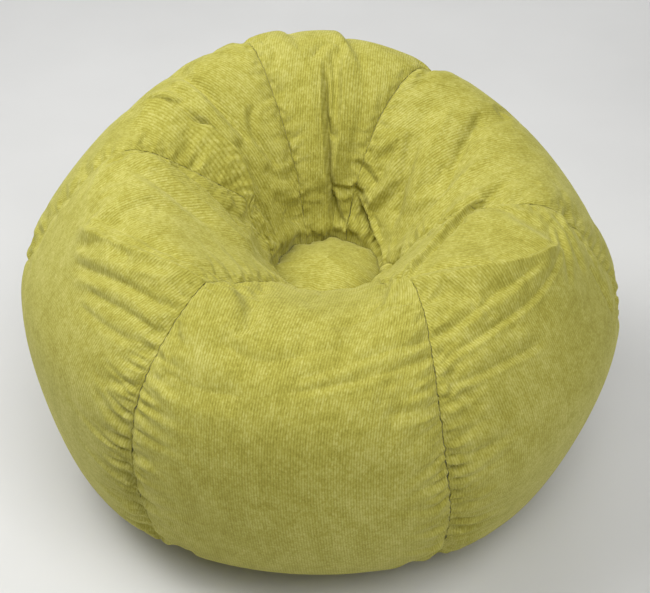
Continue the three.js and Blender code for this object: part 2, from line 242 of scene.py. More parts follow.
def folded(points, normals):
    """The points of the smooth bag, moved by all the folds."""
    flat = points.reshape(-1, 3)
    outward = normals.reshape(-1, 3)
    moved = flat.copy()
    groups = [(1.25, 0.2, fold) for fold in FOLDS]       # the crest's power, the rebound beside it
    groups += [(1, 0, fold) for fold in LIPS] + [(2, 0, fold) for fold in SWELLS]
    for power, rebound, (height, lean, width_before, width_after, path) in groups:
        marks = catmull_rom(path, np.linspace(0, 1, FOLD_MARKS))
        azimuth, place = np.radians(marks[:, 0]), marks[:, 1]
        line = face_points(azimuth, place)
        step = 1e-3
        ahead = face_points(azimuth, place + step) - face_points(azimuth, place - step)
        round_bag = face_points(azimuth + step, place) - face_points(azimuth - step, place)
        up = np.cross(ahead, round_bag)
        reach = FOLD_REACH * max(width_before, width_after)
        near = np.flatnonzero(((flat > line.min(0) - reach) & (flat < line.max(0) + reach)).all(1))
        best = np.full(len(near), np.inf)
        run, side = np.zeros(len(near)), np.zeros(len(near))
        leftward = np.zeros((len(near), 3))
        for i in range(len(line) - 1):
            along = line[i + 1] - line[i]
            left = np.cross(up[i], along)
            left /= np.linalg.norm(left)
            off = flat[near] - line[i]
            share = np.clip(off @ along / (along @ along), 0, 1)
            gap = off - share[:, None] * along
            distance = np.linalg.norm(gap, axis=1)
            closer = distance < best
            best[closer] = distance[closer]
            run[closer] = (i + share[closer]) / (len(line) - 1)
            side[closer] = (gap @ left)[closer]
            leftward[closer] = left
        x = best / np.where(side > 0, width_before, width_after)
        ends = smoothstep(run / FOLD_TAPER) * smoothstep((1 - run) / FOLD_TAPER)
        shape = np.exp(-np.abs(x)**power) - rebound * np.exp(-((x - 1.9) / 0.8)**2)
        moved[near] += (height * ends * shape)[:, None] * outward[near]
        moved[near] -= (lean * ends * np.exp(-x**2))[:, None] * leftward
    return moved.reshape(points.shape)


# ---- the cover's grid
COARSE_COLUMNS, COARSE_ROWS = 40, 104       # in each gore
COLUMNS, ROWS = 108, 430
CLOTH_FRAMES = 22
MOST_MOVE = 0.010             # the farthest that the simulation may move a point


def gore_grid(k, across, place):
    """Azimuths at these shares of gore k's width and these places."""
    first, last = seam_azimuth(k, place), seam_azimuth(k + 1, place)
    return first + (last - first) * across


def smooth_grid(columns, rows):
    """The bag's whole smooth side: azimuths, places and points, by columns of all the gores and by rows."""
    across = np.arange(columns)[:, None] / columns
    place = np.linspace(0, 1, rows + 1)[None]
    azimuth = np.concatenate([gore_grid(k, across, place) for k in range(len(GORES))])
    return azimuth, place, face_points(azimuth, place)


def resample(grid, column, row):
    """A grid that is closed across its columns, read smoothly at fractional columns and rows."""
    def weights(u):
        return ((-u + 2 * u**2 - u**3) / 2, (2 - 5 * u**2 + 3 * u**3) / 2,
                (u + 4 * u**2 - 3 * u**3) / 2, (u**3 - u**2) / 2)
    column, row = np.broadcast_arrays(column, row)
    i, j = np.floor(column).astype(int), np.floor(row).astype(int)
    total = 0
    for a, wide in zip((-1, 0, 1, 2), weights(column - i)):
        for b, tall in zip((-1, 0, 1, 2), weights(row - j)):
            value = grid[(i + a) % grid.shape[0], np.clip(j + b, 0, grid.shape[1] - 1)]
            total = total + (wide * tall)[..., None] * value
    return total


def softened(grid, times):
    """A grid that is closed across its columns, averaged with its neighbours this many times."""
    for _ in range(times):
        grid = (2 * grid + np.roll(grid, 1, 0) + np.roll(grid, -1, 0)) / 4
        grid[:, 1:-1] = (2 * grid[:, 1:-1] + grid[:, 2:] + grid[:, :-2]) / 4
    return grid


def quads(index, closed=True):
    """The faces of a grid of vertex numbers, which may close on itself across its columns."""
    before, after = (index, np.roll(index, -1, 0)) if closed else (index[:-1], index[1:])
    return np.stack([before[:, :-1], before[:, 1:], after[:, 1:], after[:, :-1]], -1).reshape(-1, 4)


def relaxed(points):
    """How far a cloth simulation moves each point of the coarse cover."""
    columns, rows = points.shape[:2]
    index = np.arange(columns * rows).reshape(columns, rows)
    mesh = bpy.data.meshes.new("cloth")
    mesh.from_pydata(points.reshape(-1, 3).tolist(), [], quads(index).tolist())
    cloth = bpy.data.objects.new("cloth", mesh)
    bpy.context.scene.collection.objects.link(cloth)
    hold = np.full((columns, rows), 0.02)       # fully held at the seams, and half held near the floor
    hold[::COARSE_COLUMNS] = 1
    hold[:, 0] = hold[:, -1] = 1
    hold[:, -6:] = np.maximum(hold[:, -6:], 0.5)
    group = cloth.vertex_groups.new(name="held")
    for weight in np.unique(hold):
        group.add(index[hold == weight].tolist(), float(weight), "REPLACE")
    settings = cloth.modifiers.new("Cloth", "CLOTH").settings
    for name, value in dict(
            vertex_group_mass="held", pin_stiffness=0.5, mass=0.3, quality=6, tension_stiffness=20,
            compression_stiffness=20, shear_stiffness=8, bending_stiffness=0.6, use_pressure=True,
            uniform_pressure_force=2.5, shrink_min=-0.035).items():      # cut a little larger than the bag
        setattr(settings, name, value)
    settings.effector_weights.gravity = 0
    cloth.modifiers["Cloth"].point_cache.frame_end = CLOTH_FRAMES
    for step in range(1, CLOTH_FRAMES + 1):
        bpy.context.scene.frame_set(step)
    shown = cloth.evaluated_get(bpy.context.evaluated_depsgraph_get()).to_mesh()
    after_cloth = np.zeros(columns * rows * 3, np.float32)
    shown.vertices.foreach_get("co", after_cloth)
    bpy.context.scene.frame_set(1)
    bpy.data.objects.remove(cloth)
    bpy.data.meshes.remove(mesh)
    move = after_cloth.reshape(points.shape) - points
    length = np.linalg.norm(move, axis=-1, keepdims=True)
    return move * MOST_MOVE * np.tanh(length / MOST_MOVE) / np.maximum(length, 1e-9)


# ---- puckers
def pucker_heights(run, distance, chance, pitch, reach, height, slope, low=0.3):
    """Puckers along a seam, as heights. run is the way along the seam and distance the way from it."""
    total = np.zeros(run.shape)
    at = run.min() + chance.uniform(0, pitch)
    while at < run.max():
        length = reach * chance.uniform(0.45, 1.25)
        width = pitch * chance.uniform(0.24, 0.42)
        rise = height * chance.uniform(0.35, 1.2)
        lean = slope + chance.normal(0, 0.16)
        bend = chance.normal(0, 1.2)
        near = (np.abs(run - at) < 4 * width + 1.1 * np.abs(slope) * reach + 0.03) & (distance < 2 * length)
        off = run[near] - at - lean * distance[near] - bend * distance[near]**2
        spread = width * (1 + 5 * distance[near])
        rising = low + (1 - low) * smoothstep(distance[near] / 0.012)
        fade = rising * np.exp(-(distance[near] / length)**2)
        x = off / spread
        total[near] += rise * fade * (0.55 * np.exp(-(x - 1.15)**2) - np.exp(-x**2))
        at += pitch * chance.uniform(0.7, 1.45)
    return total


# ---- mesh building
def new_piece(name, arrays, node, material):
    """A piece that rides on the bag and stands for a CAD node.

    arrays are its vertices, its faces and, on cloth, each vertex's place in the cloth as cut, in metres.
    """
    vertices, faces, *flat = arrays
    mesh = bpy.data.meshes.new(name)
    mesh.from_pydata(np.asarray(vertices).tolist(), [], [list(map(int, face)) for face in faces])
    if flat:
        layer = mesh.uv_layers.new(name="flat")
        corners = np.zeros(len(mesh.loops), np.int32)
        mesh.loops.foreach_get("vertex_index", corners)
        layer.data.foreach_set("uv", np.asarray(flat[0], np.float32)[corners].ravel())
    mesh.polygons.foreach_set("use_smooth", np.ones(len(mesh.polygons), bool))
    mesh.update()
    piece = bpy.data.objects.new(name, mesh)
    bpy.context.scene.collection.objects.link(piece)
    mesh.materials.append(material)
    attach(piece, "bag")
    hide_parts(node)
    return piece


def sheet_arrays(points, normals, thickness, flat, closed=False):
    """A thin closed sheet from a grid of points on its outer face: (vertices, faces, flat places)."""
    columns, rows = points.shape[:2]
    outer = np.arange(columns * rows).reshape(columns, rows)
    inner = outer + columns * rows
    both = np.stack([outer, inner], -1)
    faces = [quads(outer, closed), quads(inner, closed)[:, ::-1],
             quads(both[:, 0], closed)[:, ::-1], quads(both[:, -1], closed)]
    if not closed:
        faces += [quads(both[0], False), quads(both[-1], False)[:, ::-1]]
    vertices = np.concatenate([points.reshape(-1, 3), (points - thickness * normals).reshape(-1, 3)])
    return vertices, np.concatenate(faces), np.concatenate([flat.reshape(-1, 2)] * 2)


def disc_arrays(points, thickness, flat):
    """A thin closed disc from rings of points on its upper face: (vertices, faces, flat places)."""
    columns, rows = points.shape[:2]
    normals = grid_normals(points, closed=True)
    vertices, faces, flat = sheet_arrays(points, normals, thickness, flat, closed=True)
    inner_ring = np.arange(columns) * rows
    after = np.roll(inner_ring, -1)
    below = columns * rows
    hub = set(inner_ring.tolist()) | set((inner_ring + below).tolist())
    faces = [face for face in faces.tolist() if not hub.issuperset(face)]
    middle = points[:, 0].mean(0)
    vertices = np.concatenate([vertices, [middle, middle - (0, 0, thickness)]])
    flat = np.concatenate([flat, [flat[inner_ring].mean(0)] * 2])
    faces += [[a, b, len(vertices) - 2] for a, b in zip(inner_ring, after)]
    faces += [[b + below, a + below, len(vertices) - 1] for a, b in zip(inner_ring, after)]
    return vertices, faces, flat


def tube_arrays(points, radius, sides, across):
    """A closed round tube along a line of points. across is a direction that the line never takes."""
    points = np.asarray(points, float)
    along = np.gradient(points, axis=0)
    along /= np.linalg.norm(along, axis=1, keepdims=True)
    side = np.cross(along, np.asarray(across, float))
    side /= np.maximum(np.linalg.norm(side, axis=1, keepdims=True), 1e-9)
    up = np.cross(side, along)
    radius = np.broadcast_to(np.asarray(radius, float), len(points))
    turn = np.linspace(0, 2 * np.pi, sides, endpoint=False)
    ring = (np.cos(turn)[None, :, None] * side[:, None] + np.sin(turn)[None, :, None] * up[:, None])
    rings = points[:, None] + radius[:, None, None] * ring
    index = np.arange(len(points) * sides).reshape(len(points), sides)
    after = np.roll(index, -1, 1)
    faces = np.stack([index[:-1], after[:-1], after[1:], index[1:]], -1).reshape(-1, 4).tolist()
    faces += [index[0, ::-1].tolist(), index[-1].tolist()]
    return rings.reshape(-1, 3), faces


def joined(parts):
    """Several (vertices, faces) as one."""
    vertices, faces, count = [], [], 0
    for points, some in parts:
        vertices.append(points)
        faces += [[count + i for i in face] for face in some]
        count += len(points)
    return np.concatenate(vertices), faces


def stitches(line, up, length=0.0031, gap=0.0009, radius=0.00042):
    """A row of stitches along a line of points: each one a short strand that dips at its ends."""
    up = np.broadcast_to(up, line.shape)
    steps = np.linalg.norm(np.diff(line, axis=0), axis=1)
    run = np.concatenate([[0], np.cumsum(steps)])
    parts = []
    shape = np.array((-0.5, -0.46, -0.32, 0, 0.32, 0.46, 0.5))
    thickness = radius * np.array((0.35, 0.7, 1, 1, 1, 0.7, 0.35))
    dip = -radius * np.array((1.6, 1.0, 0.3, 0, 0.3, 1.0, 1.6))
    for middle in np.arange(length, run[-1] - length, length + gap):
        at = middle + shape * length
        points = np.stack([np.interp(at, run, line[:, i]) for i in range(3)], -1)
        above = np.stack([np.interp(at, run, up[:, i]) for i in range(3)], -1)
        points = points + dip[:, None] * above
        parts.append(tube_arrays(points, thickness, 5, above[3]))
    return joined(parts)


# ---- materials
class Nodes:
    """Short names for building the nodes of a material, or of the world."""

    def __init__(self, name, kind="materials", shader="Principled BSDF"):
        self.owner = getattr(bpy.data, kind).new(name)
        self.owner.use_nodes = True
        self.tree = self.owner.node_tree
        self.shader = self.tree.nodes[shader]

    def link(self, socket, value):
        if isinstance(value, bpy.types.NodeSocket):
            self.tree.links.new(value, socket)
        else:
            socket.default_value = value

    def add(self, kind, inputs=(), **settings):
        node = self.tree.nodes.new(kind)
        for key, value in settings.items():
            setattr(node, key, value)
        for key, value in dict(inputs).items():
            self.link(node.inputs[key], value)
        return node

    def math(self, operation, a, b=0.0, c=0.0, clamp=False):
        return self.add("ShaderNodeMath", {0: a, 1: b, 2: c}, operation=operation, use_clamp=clamp).outputs[0]

    def times(self, a, b):
        return self.math("MULTIPLY", a, b)

    def plus(self, a, b):
        return self.math("ADD", a, b)

    def mix(self, a, share, b):
        """A share of a, added to b."""
        return self.math("MULTIPLY_ADD", a, share, b)

    def sine(self, a, rate):
        return self.math("SINE", self.times(a, rate))

    def flat(self, scale=(1, 1, 1)):
        """The place in the cloth as cut, in metres, scaled."""
        uv = self.add("ShaderNodeUVMap", uv_map="flat").outputs[0]
        return self.add("ShaderNodeMapping", {"Vector": uv, "Scale": scale}).outputs[0]

    def place(self, scale=(1, 1, 1)):
        """The place in the object, in metres, scaled."""
        here = self.add("ShaderNodeTexCoord").outputs["Object"]
        return self.add("ShaderNodeMapping", {"Vector": here, "Scale": scale}).outputs[0]

    def split(self, vector):
        return self.add("ShaderNodeSeparateXYZ", {0: vector}).outputs

    def noise(self, vector, scale, detail=2.0, roughness=0.5):
        return self.add("ShaderNodeTexNoise", {"Vector": vector, "Scale": scale, "Detail": detail,
                                               "Roughness": roughness}).outputs[0]

    def spread(self, value, low, high, to_low=0.0, to_high=1.0):
        return self.add("ShaderNodeMapRange", {0: value, 1: low, 2: high, 3: to_low, 4: to_high}).outputs[0]

    def ramp(self, value, *stops):
        node = self.add("ShaderNodeValToRGB", {0: value})
        elements = node.color_ramp.elements
        while len(elements) < len(stops):
            elements.new(0.5)
        for element, (at, color) in zip(elements, stops):
            element.position, element.color = at, (*color, 1)
        return node.outputs[0]

    def bump(self, height, distance, strength=1.0, normal=None):
        inputs = {"Height": height, "Distance": distance, "Strength": strength}
        if normal is not None:
            inputs["Normal"] = normal
        return self.add("ShaderNodeBump", inputs).outputs[0]

    def surface(self, **inputs):
        for key, value in inputs.items():
            self.link(self.shader.inputs[key.replace("_", " ")], value)
        return self.owner


WALE_PITCH = 0.0037
WEAVE_PITCH = 0.0011          # of the liner
# the nap's colours: the darker end is reached both in the nap's own darker patches and in the painted shade
# of the grooves between the wales
PALE_NAP = (0.560, 0.530, 0.175)
MID_NAP = (0.362, 0.334, 0.060)
DARK_NAP = (0.185, 0.162, 0.014)


def corduroy():
    """A pile cut into wales that run down each gore, worn and brushed into paler and darker patches, with
    painted shade in the grooves between the wales.
    """
    n = Nodes("corduroy")
    across, along, _ = n.split(n.flat())
    waver = n.spread(n.noise(n.flat((1, 0.5, 1)), 22, 2), 0, 1, -0.0011, 0.0011)
    wale = n.math("DIVIDE", n.plus(across, waver), WALE_PITCH)
    crown = n.math("POWER", n.math("ABSOLUTE", n.sine(wale, math.pi)), 0.75)
    number = n.math("FLOOR", wale)
    dashes = n.add("ShaderNodeCombineXYZ", {0: n.times(number, 3.7),
                                            1: n.times(along, 150)})
    broken = n.spread(n.noise(dashes.outputs[0], 1, 1.5), 0.3, 0.7)
    patches = n.spread(n.noise(n.flat((1, 0.6, 1)), 130, 3, 0.65), 0.39, 0.61)
    speckle = n.spread(n.noise(n.flat((1, 0.55, 1)), 330, 2, 0.7), 0.39, 0.61)
    fibres = n.noise(n.flat((1, 0.45, 1)), 620, 3, 0.75)
    nap = n.spread(n.noise(n.flat((1, 0.7, 1)), 34, 4, 0.65), 0.38, 0.62)
    wide_nap = n.spread(n.noise(n.place(), 5.5, 2), 0.35, 0.65)
    # paler on each wale's crown and darker in its groove: painted shade in the grooves, together with the
    # pile's own random breaks along each wale
    pile_and_groove_shade = n.times(crown, n.spread(broken, 0, 1, 0.55, 1))
    mottle = n.mix(nap, 0.15, n.mix(wide_nap, 0.10, n.times(patches, 0.11)))
    grain = n.mix(speckle, 0.17, n.times(n.spread(fibres, 0.36, 0.64), 0.16))
    tone = n.mix(pile_and_groove_shade, 0.31, n.plus(grain, mottle))
    color = n.ramp(tone, (0.05, DARK_NAP), (0.5, MID_NAP), (0.95, PALE_NAP))
    height = n.plus(pile_and_groove_shade, n.times(fibres, 0.22))
    soft = n.bump(nap, 0.0012, 0.35)
    return n.surface(Base_Color=color, Roughness=n.spread(pile_and_groove_shade, 0, 1, 0.98, 0.86),
                     Normal=n.bump(height, 0.0008, 0.6, soft), Sheen_Weight=0.35, Sheen_Roughness=0.45,
                     Sheen_Tint=(0.86, 0.84, 0.36, 1), Specular_IOR_Level=0.12)


def thread(name, pale, dark):
    """A twisted sewing thread."""
    n = Nodes(name)
    x, y, z = n.split(n.place())
    way = n.plus(n.plus(x, y), n.times(z, 1.6))
    twist = n.sine(way, 9000)
    fuzz = n.noise(n.place(), 2600, 2)
    tone = n.mix(twist, 0.28, fuzz)
    color = n.ramp(tone, (0.25, dark), (0.75, pale))
    return n.surface(Base_Color=color, Roughness=n.spread(fuzz, 0, 1, 0.55, 0.8),
                     Normal=n.bump(tone, 0.00012, 0.8), Specular_IOR_Level=0.35)


def twill(name, pale, dark):
    """A woven zip tape: a herringbone of fine diagonal ribs."""
    n = Nodes(name)
    x, y, _ = n.split(n.place())
    fold = n.math("PINGPONG", n.times(y, 1000), 3.0)
    rib = n.sine(n.plus(n.times(x, 1000), fold), 7.5)
    pick = n.sine(y, 9000)
    fibres = n.noise(n.place(), 2200, 2, 0.6)
    tone = n.mix(rib, 0.22, n.mix(pick, 0.07, fibres))
    color = n.ramp(tone, (0.2, dark), (0.8, pale))
    return n.surface(Base_Color=color, Roughness=n.spread(fibres, 0, 1, 0.72, 0.95),
                     Normal=n.bump(tone, 0.0002, 0.7), Sheen_Weight=0.15, Specular_IOR_Level=0.25)


def liner_weave():
    """A thin white plain weave, with slubs."""
    n = Nodes("liner_weave")
    across, along, _ = n.split(n.flat())
    warp = n.sine(across, 2 * math.pi / WEAVE_PITCH)
    weft = n.sine(along, 2 * math.pi / WEAVE_PITCH)
    weave = n.times(warp, weft)
    slubs = n.noise(n.flat((1, 0.08, 1)), 700, 2)
    stain = n.noise(n.place(), 9, 3)
    uneven = n.mix(stain, 0.5, n.times(slubs, 0.5))
    tone = n.mix(weave, 0.14, uneven)
    color = n.ramp(tone, (0.2, (0.62, 0.60, 0.54)), (0.7, (0.83, 0.82, 0.77)))
    return n.surface(Base_Color=color, Roughness=n.spread(slubs, 0, 1, 0.8, 0.95),
                     Normal=n.bump(n.plus(weave, slubs), 0.00015, 0.7), Sheen_Weight=0.1)


def nylon():
    """The drawn nylon of a zip's coils."""
    n = Nodes("zip_nylon")
    drawn = n.noise(n.place(), 900, 3)
    color = n.ramp(drawn, (0.3, (0.40, 0.38, 0.16)), (0.7, (0.56, 0.54, 0.28)))
    return n.surface(Base_Color=color, Roughness=n.spread(drawn, 0, 1, 0.28, 0.46),
                     Normal=n.bump(drawn, 0.00005, 0.5), Subsurface_Weight=0.08, IOR=1.53)


def metal():
    """Brushed zip metal, duller where it is worn."""
    n = Nodes("zip_metal")
    brushed = n.noise(n.place((0.08, 1, 1)), 5200, 3, 0.6)
    marks = n.noise(n.place(), 420, 4, 0.65)
    worn = n.spread(marks, 0.45, 0.7)
    color = n.ramp(worn, (0.0, (0.58, 0.58, 0.56)), (1.0, (0.40, 0.39, 0.36)))
    rough = n.plus(n.spread(worn, 0, 1, 0.24, 0.42), n.times(brushed, 0.12))
    return n.surface(Base_Color=color, Metallic=1.0, Roughness=rough,
                     Normal=n.bump(n.plus(brushed, marks), 0.00006, 0.45))


def bead_surface():
    """Polystyrene beads packed side by side, each one a dome, with painted shade in the gaps between them."""
    n = Nodes("polystyrene_beads")
    cells = n.add("ShaderNodeTexVoronoi", {"Vector": n.place(), "Scale": 210.0, "Randomness": 0.8})
    off_middle = n.times(cells.outputs["Distance"], 1.25)
    # each bead's dome: it gives the bump, and it also darkens the colour where the domes meet, which is
    # painted shade between the beads
    dome_and_painted_gap_shade = n.math("SUBTRACT", 1, n.math("POWER", off_middle, 2), clamp=True)
    grain = n.noise(n.place(), 1800, 2)
    tone = n.mix(dome_and_painted_gap_shade, 0.7, n.times(grain, 0.3))
    color = n.ramp(tone, (0.15, (0.42, 0.42, 0.40)), (0.6, (0.88, 0.88, 0.86)))
    return n.surface(Base_Color=color, Roughness=n.spread(grain, 0, 1, 0.45, 0.7),
                     Normal=n.bump(dome_and_painted_gap_shade, 0.0016, 1.0), Subsurface_Weight=0.15)


# ---- camera, lights and floor
VIEW_ELEVATION = 38.6
VIEW_DISTANCE = 2.2
VIEW_LENS = 79.5
VIEW_TARGET = Vector((0.0067, 0, 0.30))


def aimed(data, position, target):
    thing = bpy.data.objects.new(data.name, data)
    bpy.context.scene.collection.objects.link(thing)
    thing.location = position
    thing.rotation_euler = (Vector(target) - Vector(position)).to_track_quat("-Z", "Y").to_euler()
    return thing


def lamp(name, kind, position, target=(0, 0, 0.3), **settings):
    """A lamp that stands here and shines at the bag, or at another target."""
    data = bpy.data.lights.new(name, kind)
    for key, value in settings.items():
        setattr(data, key, value)
    aimed(data, position, target)


camera_data = bpy.data.cameras.new("camera")
camera_data.lens = VIEW_LENS
camera_data.sensor_width = 36
elevation = math.radians(VIEW_ELEVATION)
camera_place = VIEW_TARGET + VIEW_DISTANCE * Vector((0, -math.cos(elevation), math.sin(elevation)))
camera = aimed(camera_data, camera_place, VIEW_TARGET)
bpy.context.scene.camera = camera
bpy.context.scene.view_settings.view_transform = "Standard"

lamp("key", "AREA", (-1.15, 0.1, 2.0), size=1.0, energy=21)
lamp("front", "AREA", (0.5, -1.4, 2.4), size=1.4, energy=33)
lamp("overhead", "AREA", (0.1, 0, 2.0), size=1.2, energy=4)
lamp("backdrop", "AREA", (0, 3.2, 2.4), (0, 2.8, 0), size=3.0, energy=36)
lamp("far_key", "SUN", (-1.35, 0.1, 2.1), energy=0.7, angle=math.radians(30))
lamp("far_front", "SUN", (0.6, -1.3, 2.6), energy=0.7, angle=math.radians(42))

HORIZON, ZENITH = 0.50, 0.07            # the world's strength low down and high up, like a lit wall
studio = Nodes("studio", "worlds", "Background")
climb = studio.split(studio.add("ShaderNodeTexCoord").outputs["Generated"])[2]
fading = studio.add("ShaderNodeMapRange", {0: climb, 1: 0.03, 2: 0.30, 3: HORIZON, 4: ZENITH},
                    interpolation_type="SMOOTHSTEP")
bpy.context.scene.world = studio.surface(Color=(1, 1, 1, 1), Strength=fading.outputs[0])

floor_mesh = bpy.data.meshes.new("floor")
floor_mesh.from_pydata([(-30, -30, 0), (30, -30, 0), (30, 30, 0), (-30, 30, 0)], [], [(0, 1, 2, 3)])
floor = bpy.data.objects.new("floor", floor_mesh)
bpy.context.scene.collection.objects.link(floor)
floor.location.z = -0.0004
paint = Nodes("floor_paint")
mottle = paint.noise(paint.place(), 3, 3)
floor_mesh.materials.append(paint.surface(
    Base_Color=paint.ramp(mottle, (0.3, (0.63, 0.63, 0.62)), (0.7, (0.66, 0.66, 0.65))),
    Roughness=paint.spread(mottle, 0, 1, 0.55, 0.7)))

# ---- the cover
CORDUROY = corduroy()
SEWING_THREAD = thread("sewing_thread", (0.36, 0.34, 0.10), (0.17, 0.155, 0.03))
LINER_THREAD = thread("liner_thread", (0.80, 0.79, 0.75), (0.5, 0.49, 0.45))
LINER = liner_weave()

GORE_WIDTH, GORE_LENGTH, GORE_AREA = 0.470, 1.160, 0.375       # each gore as cut, without its hems
SEAM_SINK, SEAM_REACH = 0.0025, 0.020
GROOVE, GROOVE_REACH = 0.0012, 0.0018
SEAM_GAP = 0.0002
USUAL_WIDTH = 0.3             # of a gore on the bag
FIRST_PLACE, PLACE_SPAN = 0.0003, 0.9959        # the gores stop short of the cap and the base
ROW_PULL, ROW_MIDDLE = 0.25, 0.35               # how strongly the rows close up, and where
CAP_PUCKERS = (0.013, 0.026, 0.0060)            # pitch, reach, height
BASE_PUCKERS = (0.024, 0.040, 0.0030)
DRIFT_SOFTENING = 40          # passes
CAP_GROOVE = 0.0055
CAP_ROLL = 0.008              # how far the gathered ends of the gores bulge over the cap

azimuth, place, smooth_face = smooth_grid(COARSE_COLUMNS, COARSE_ROWS)
smooth_normals = grid_normals(smooth_face, closed=True)
coarse = folded(smooth_face, smooth_normals)
drift = relaxed(coarse)
drift -= softened(drift, DRIFT_SOFTENING)       # leaves the fine moves, and takes out the broad swelling
coarse = coarse + drift
coarse_normals = grid_normals(softened(coarse, 2), closed=True)


def meridian_run(points):
    """How far each row lies from the cap's seam, along the gore's middle."""
    middle = points[points.shape[0] // 2]
    return np.concatenate([[0], np.cumsum(np.linalg.norm(np.diff(middle, axis=0), axis=1))])


# How strongly each seam's two sides are puckered: (pitch, reach, height, slope) before and after it.
PUCKERS = (
    ((0.021, 0.060, 0.0052, 0.10), (0.021, 0.062, 0.0052, -0.15)),
    ((0.026, 0.060, 0.0050, 0.20), (0.026, 0.060, 0.0050, 0.15)),
    ((0.024, 0.042, 0.0044, 0.10), (0.024, 0.045, 0.0044, -0.10)),
    ((0.024, 0.042, 0.0044, 0.15), (0.024, 0.042, 0.0044, -0.10)),
    ((0.026, 0.060, 0.0050, 0.15), (0.026, 0.060, 0.0050, 0.20)),
    ((0.021, 0.066, 0.0056, -0.15), (0.021, 0.060, 0.0052, 0.10)),
)


# Where a long crease runs down a gore, as places and shares of the gore's width there.
CREASES = {2: ((0.1, 0.4), (0.53, 0.54)), 3: ((0.10, 0.18, 0.26, 0.40), (0.86, 0.80, 0.67, 0.67))}


def crowding(k, place):
    """Where the columns of gore k lie across it: close along its seams and its long crease."""
    fine = np.linspace(0, 1, 401)
    seams = 3.2 * (np.exp(-(fine / 0.05)**2) + np.exp(-((1 - fine) / 0.05)**2))
    shares = []
    for p in place:
        close = 1 + seams
        if k in CREASES:
            fade = 1 - smoothstep((p - 0.40) / 0.12)
            close = close + 2.4 * fade * np.exp(-((fine - np.interp(p, *CREASES[k])) / 0.07)**2)
        so_far = np.concatenate([[0], np.cumsum((close[1:] + close[:-1]) / 2)])
        shares.append(np.interp(np.linspace(0, 1, COLUMNS + 1), so_far / so_far[-1], fine))
    return np.stack(shares, axis=1)


def seam_waver(k, place):
    """How far seam k strays to either side as it crosses its puckers."""
    return sum(size * np.sin(2 * np.pi * place * rate + 1.7 * k * rate)
               for size, rate in ((0.0007, 31), (0.0006, 58), (0.0005, 83)))


def cap_waver(azimuth):
    """How far the cap's seam strays outwards and upwards at this azimuth."""
    out, rise = (sum(size * np.sin(rate * azimuth + start) for size, rate, start in waves) for waves in (
        ((0.0022, 3, 1), (0.0020, 8, 2), (0.0016, 17, 0)),
        ((0.0030, 2, 2.6), (0.0022, 7, 0), (0.0014, 15, 1))))
    return np.stack([out * np.sin(azimuth), -out * np.cos(azimuth), rise], -1)


def build_gore(k):
    """Gore k of the cover: its outer points, its normals and its places in the cloth as cut."""
    even = np.linspace(0, 1, ROWS + 1)
    pull = np.sin(2 * np.pi * (even - ROW_MIDDLE)) + np.sin(2 * np.pi * ROW_MIDDLE)
    place = even - ROW_PULL * pull / (2 * np.pi)
    place = FIRST_PLACE + PLACE_SPAN * place[None]
    across = SEAM_GAP / USUAL_WIDTH + (1 - 2 * SEAM_GAP / USUAL_WIDTH) * crowding(k, place[0])
    azimuth = gore_grid(k, across, place)
    smooth = face_points(azimuth, place)
    points = folded(smooth, grid_normals(smooth, closed=False))
    points += resample(drift, (k + across) * COARSE_COLUMNS, place * COARSE_ROWS)
    normals = resample(coarse_normals, (k + across) * COARSE_COLUMNS, place * COARSE_ROWS)
    normals /= np.linalg.norm(normals, axis=-1, keepdims=True)

    steps = np.linalg.norm(np.diff(smooth, axis=0), axis=2)
    way = np.concatenate([np.zeros((1, smooth.shape[1])), np.cumsum(steps, 0)])      # from the first seam
    width = way[-1][None]
    run = meridian_run(smooth)[None] + 0 * way
    length = run[0, -1]
    nearest = np.minimum(way, width - way)
    ends = smoothstep(place / 0.06) * smoothstep((1 - place) / 0.05)
    height = -SEAM_SINK * ends * np.exp(-(nearest / SEAM_REACH)**2) - GROOVE * np.exp(-nearest / GROOVE_REACH)

    chance = np.random.default_rng(100 + k)
    lower = 0.35 + 0.65 * smoothstep((place - 0.36) / 0.22)      # puckers are weaker in the hollow
    for seam, side, distance in ((k, 1, way), (k + 1, 0, width - way)):
        pitch, reach, rise, slope = PUCKERS[seam % len(SEAMS)][side]
        for scale, share_of in ((1, 1), (0.62, 0.6), (0.36, 0.32)):
            height += lower * ends * pucker_heights(
                run, distance, chance, pitch * scale, reach * share_of, rise * share_of**0.5, slope)
    beside = smoothstep(nearest / 0.012)
    height += beside * pucker_heights(azimuth * CAP_RADIUS, run, chance, *CAP_PUCKERS, 0, low=0)
    height += CAP_ROLL * np.exp(-((run - 0.022) / 0.015)**2)
    height += beside * pucker_heights(azimuth * BASE_RADIUS, length - run, chance, *BASE_PUCKERS, 0, low=1)
    height -= 0.002 * np.exp(-(length - run) / 0.004)

    turn = np.stack([np.cos(azimuth), np.sin(azimuth), 0 * azimuth], -1)
    waver = sum(seam_waver(seam % len(SEAMS), place) * np.exp(-(distance / 0.006)**2)
                for seam, distance in ((k, way), (k + 1, width - way)))
    points = points + height[..., None] * normals + (ends * lower * waver)[..., None] * turn
    points += np.exp(-(run / 0.025)**2)[..., None] * cap_waver(azimuth)
    points[..., 2] -= CAP_GROOVE * np.exp(-run / 0.005)
    points[..., 2] = np.maximum(points[..., 2], 0.0004)
    flat = np.stack([way - width / 2, run], -1)
    return points, grid_normals(points, closed=False), flat


gores = []
for k, name in enumerate(GORES):
    points, normals, flat = build_gore(k)
    piece = new_piece(f"gore_{name}", sheet_arrays(points, normals, CLOTH, flat),
                      f"cover_gore_{name}", CORDUROY)
    gores.append((points, normals))


def soft_waves(chance, x, y, count, shortest, longest, height):
    """A few crossing low waves, as heights over x and y."""
    total = 0
    for _ in range(count):
        turn, start = chance.uniform(0, 2 * np.pi, 2)
        wave = 2 * np.pi / chance.uniform(shortest, longest)
        total = total + np.sin(wave * (x * math.cos(turn) + y * math.sin(turn)) + start)
    return height * total / math.sqrt(count)


